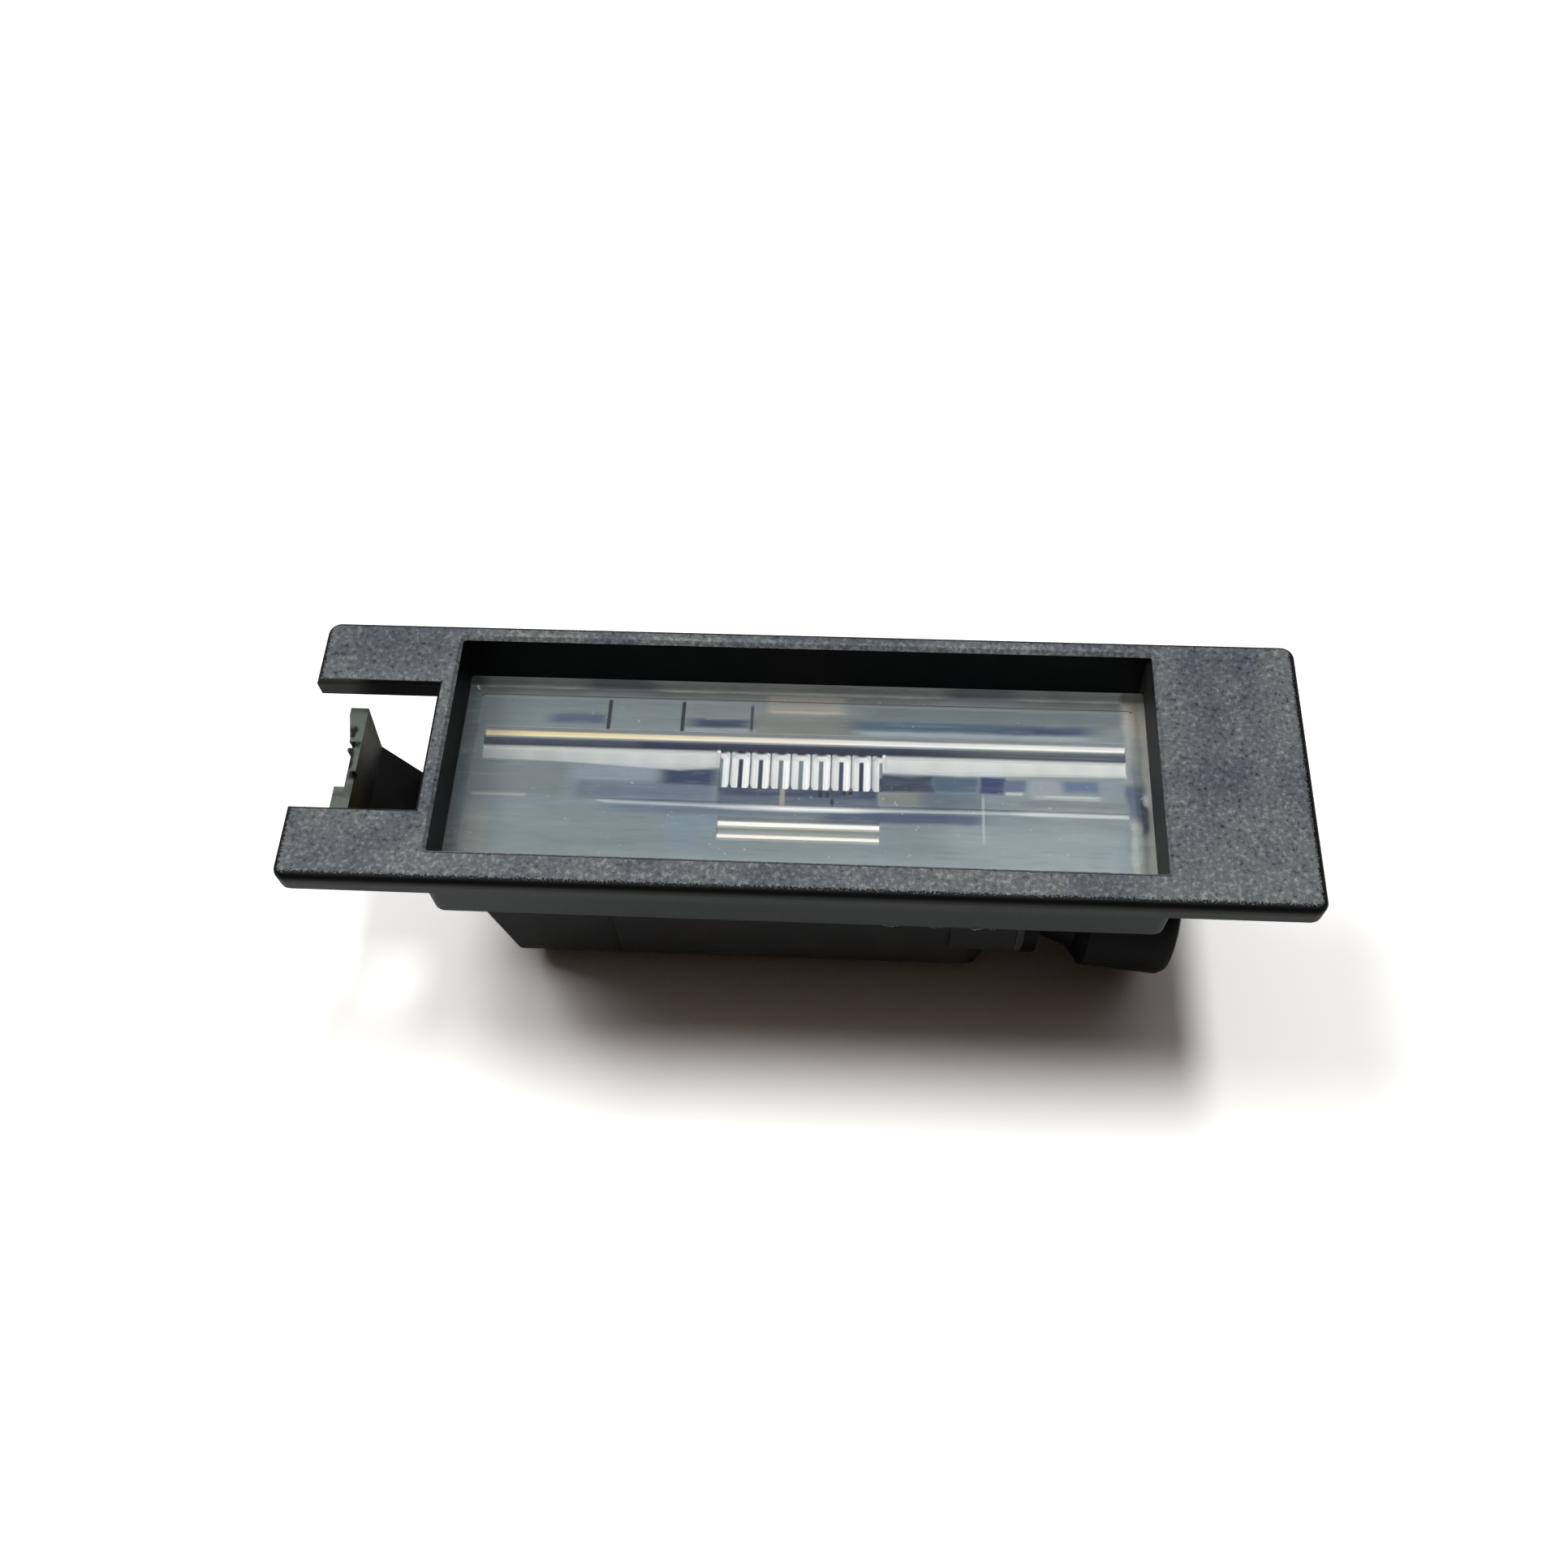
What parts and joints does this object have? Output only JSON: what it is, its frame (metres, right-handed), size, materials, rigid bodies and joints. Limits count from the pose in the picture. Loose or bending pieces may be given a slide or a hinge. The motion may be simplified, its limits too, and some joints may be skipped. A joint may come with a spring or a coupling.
{
  "type": "car number plate lamp",
  "caption": "Flush number plate lamp: slim bezel with a recessed ribbed clear lens, rear bulb chamber, sprung latch arm and a twist-out bulb holder with a blade connector.",
  "frame": {"origin": "middle of the bounding box at the resting face, which is the two bars across the bottom of the rear chamber", "axes": "+X along the bezel towards the bulb holder, +Y across the bezel away from the viewer of the picture, +Z out of the lens side"},
  "size_m": [0.074, 0.022, 0.0258],
  "materials": {
    "frame_plastic": "fine grain",
    "lens_clear": "clear",
    "reflector_bright": "metallised",
    "housing_plastic": "satin",
    "bulb_clear": "clear",
    "filament_metal": "drawn wire",
    "lead_metal": "drawn wire",
    "holder_plastic": "satin",
    "seal_rubber": "matt",
    "contact_brass": "rolled"
  },
  "bodies": {
    "lamp": {"front_frame": "frame_plastic", "lens": "lens_clear", "reflector": "reflector_bright", "rear_housing": "housing_plastic"},
    "holder": {"bulb_holder": "holder_plastic", "holder_seal": "seal_rubber", "contact_front": "contact_brass", "contact_rear": "contact_brass", "bulb_glass": "bulb_clear", "bulb_filament": "filament_metal", "bulb_lead_wires": "lead_metal"}
  },
  "joints": [
    {"name": "holder_twist", "type": "hinge", "parent": "lamp", "child": "holder", "pos_m": [0.0174, 0, 0.0088], "axis": [1, 0, 0], "range_deg": [0, 40]}
  ]
}
